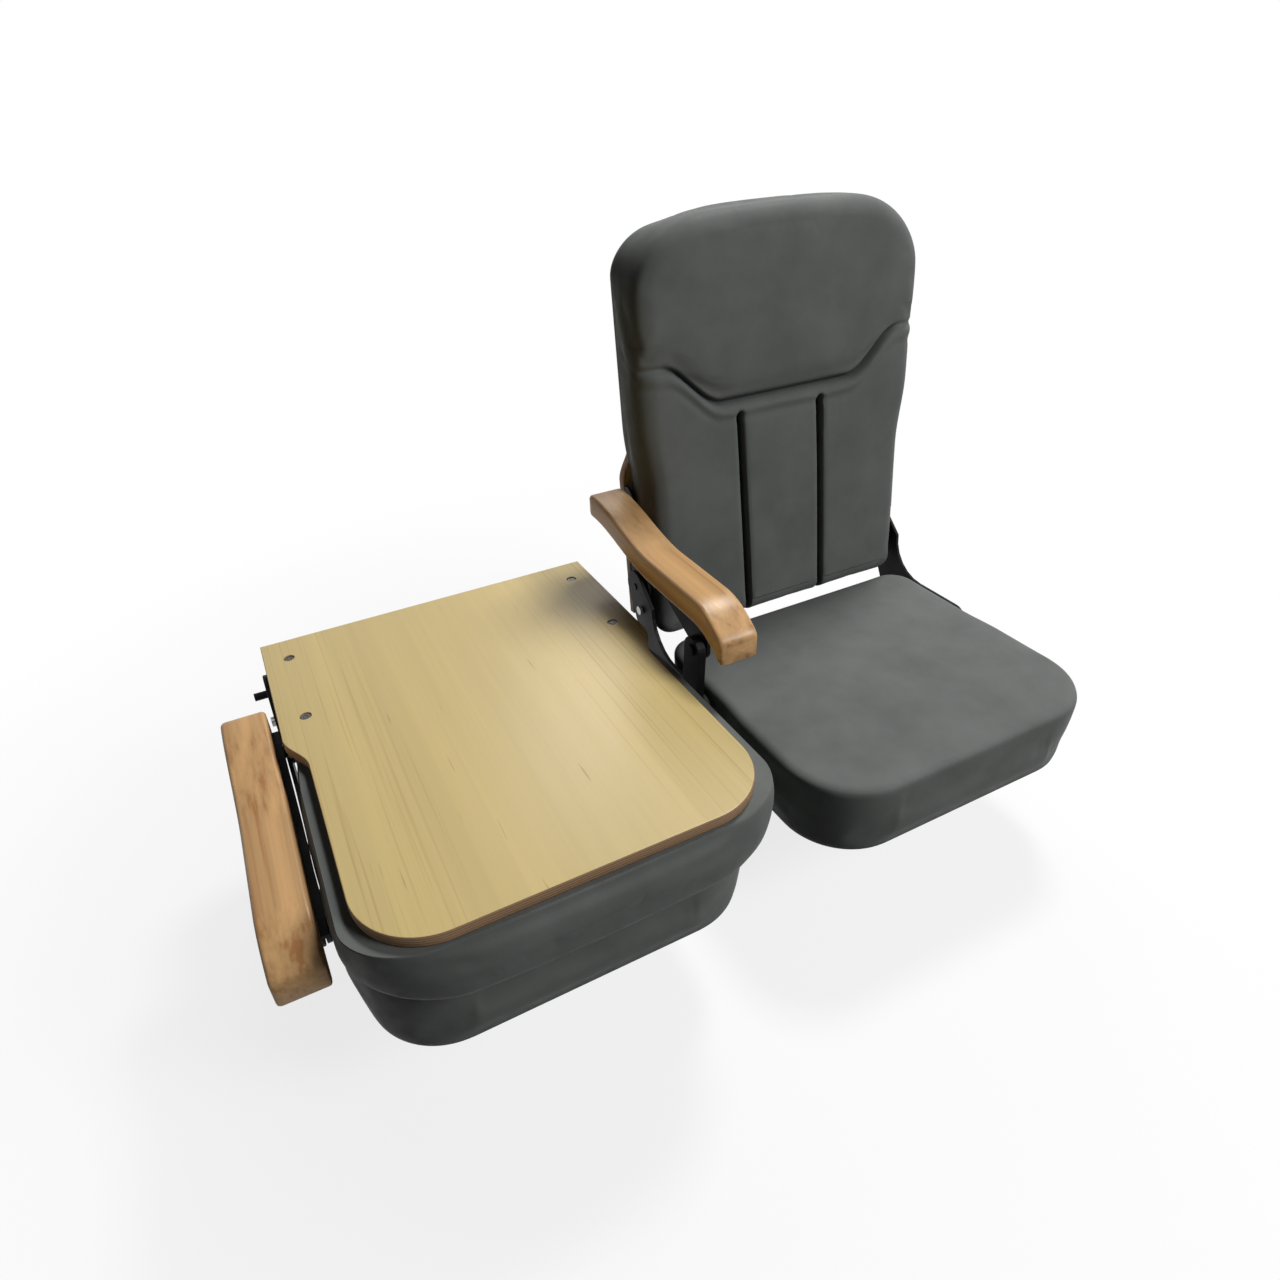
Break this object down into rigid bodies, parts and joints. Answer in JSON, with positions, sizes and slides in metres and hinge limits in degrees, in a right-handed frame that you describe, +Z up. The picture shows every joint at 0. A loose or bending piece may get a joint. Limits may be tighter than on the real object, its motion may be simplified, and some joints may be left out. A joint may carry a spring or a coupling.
{
  "type": "folding bleacher seat",
  "caption": "Padded folding bleacher seats on a shared steel beam: plywood-backed backs hinge down over the cushions while linked wooden armrests stay level and drop.",
  "frame": {"origin": "on the deck under the middle of the beam, midway between the two seats", "axes": "+X along the row to the picture's right, +Y to the rear, +Z up"},
  "size_m": [1.0493, 0.5772, 0.8117],
  "materials": {
    "leather": "satin grey leatherette",
    "plywood": "clear-lacquered pale plywood",
    "beech": "satin lacquered beech",
    "black_steel": "black powder coat",
    "zinc": "zinc plate",
    "black_plastic": "matt black"
  },
  "bodies": {
    "base": {"main_beam": "black_steel", "deck_foot_left": "black_steel", "deck_foot_right": "black_steel", "beam_cap_left": "black_plastic", "beam_cap_right": "black_plastic", "left_seat_board": "plywood", "left_seat_cushion": "leather", "left_seat_rail_front": "black_steel", "left_seat_rail_rear": "black_steel", "left_link_bolt": "zinc", "left_side_plate_outer": "black_steel", "left_stop_bolt_outer": "zinc", "left_side_plate_inner": "black_steel", "left_stop_bolt_inner": "zinc", "right_seat_board": "plywood", "right_seat_cushion": "leather", "right_seat_rail_front": "black_steel", "right_seat_rail_rear": "black_steel", "right_link_bolt": "zinc", "right_side_plate_outer": "black_steel", "right_stop_bolt_outer": "zinc", "right_side_plate_inner": "black_steel", "right_stop_bolt_inner": "zinc"},
    "left_back": {"left_back_board": "plywood", "left_back_cushion": "leather", "left_arm_pin": "black_steel", "left_back_bracket_outer": "black_steel", "left_hinge_pin_outer": "black_steel", "left_board_screw_low_outer": "zinc", "left_board_screw_high_outer": "zinc", "left_back_bracket_inner": "black_steel", "left_hinge_pin_inner": "black_steel", "left_board_screw_low_inner": "zinc", "left_board_screw_high_inner": "zinc"},
    "left_arm": {"left_armrest": "beech", "left_arm_carrier": "black_steel", "left_arm_screw_rear": "zinc", "left_arm_screw_front": "zinc"},
    "left_link": {"left_front_link": "black_steel", "left_link_pin": "black_steel"},
    "right_back": {"right_back_board": "plywood", "right_back_cushion": "leather", "right_arm_pin": "black_steel", "right_back_bracket_outer": "black_steel", "right_hinge_pin_outer": "black_steel", "right_board_screw_low_outer": "zinc", "right_board_screw_high_outer": "zinc", "right_back_bracket_inner": "black_steel", "right_hinge_pin_inner": "black_steel", "right_board_screw_low_inner": "zinc", "right_board_screw_high_inner": "zinc"},
    "right_arm": {"right_armrest": "beech", "right_arm_carrier": "black_steel", "right_arm_screw_rear": "zinc", "right_arm_screw_front": "zinc"},
    "right_link": {"right_front_link": "black_steel", "right_link_pin": "black_steel"}
  },
  "joints": [
    {"name": "left_back_fold", "type": "hinge", "parent": "base", "child": "left_back", "pos_m": [-0.261, 0.164, 0.3147], "axis": [1, 0, 0], "range_deg": [-95.5, 0]},
    {"name": "left_arm_level", "type": "hinge", "parent": "left_back", "child": "left_arm", "pos_m": [-0.261, 0.0593, 0.29812], "axis": [1, 0, 0], "range_deg": [0, 95.5]},
    {"name": "left_link_fold", "type": "hinge", "parent": "base", "child": "left_link", "pos_m": [-0.261, -0.024, 0.2184], "axis": [1, 0, 0], "range_deg": [-95.5, 0]},
    {"name": "right_back_fold", "type": "hinge", "parent": "base", "child": "right_back", "pos_m": [0.261, 0.164, 0.3147], "axis": [1, 0, 0], "range_deg": [0, 95.5]},
    {"name": "right_arm_level", "type": "hinge", "parent": "right_back", "child": "right_arm", "pos_m": [0.261, 0.15753, 0.4205], "axis": [1, 0, 0], "range_deg": [-95.5, 0]},
    {"name": "right_link_fold", "type": "hinge", "parent": "base", "child": "right_link", "pos_m": [0.261, -0.024, 0.2184], "axis": [1, 0, 0], "range_deg": [0, 95.5]}
  ],
  "couplings": [
    {"joint": "left_arm_level", "follows": "left_back_fold", "ratio": -1},
    {"joint": "left_link_fold", "follows": "left_back_fold", "ratio": 1},
    {"joint": "right_arm_level", "follows": "right_back_fold", "ratio": -1},
    {"joint": "right_link_fold", "follows": "right_back_fold", "ratio": 1}
  ]
}
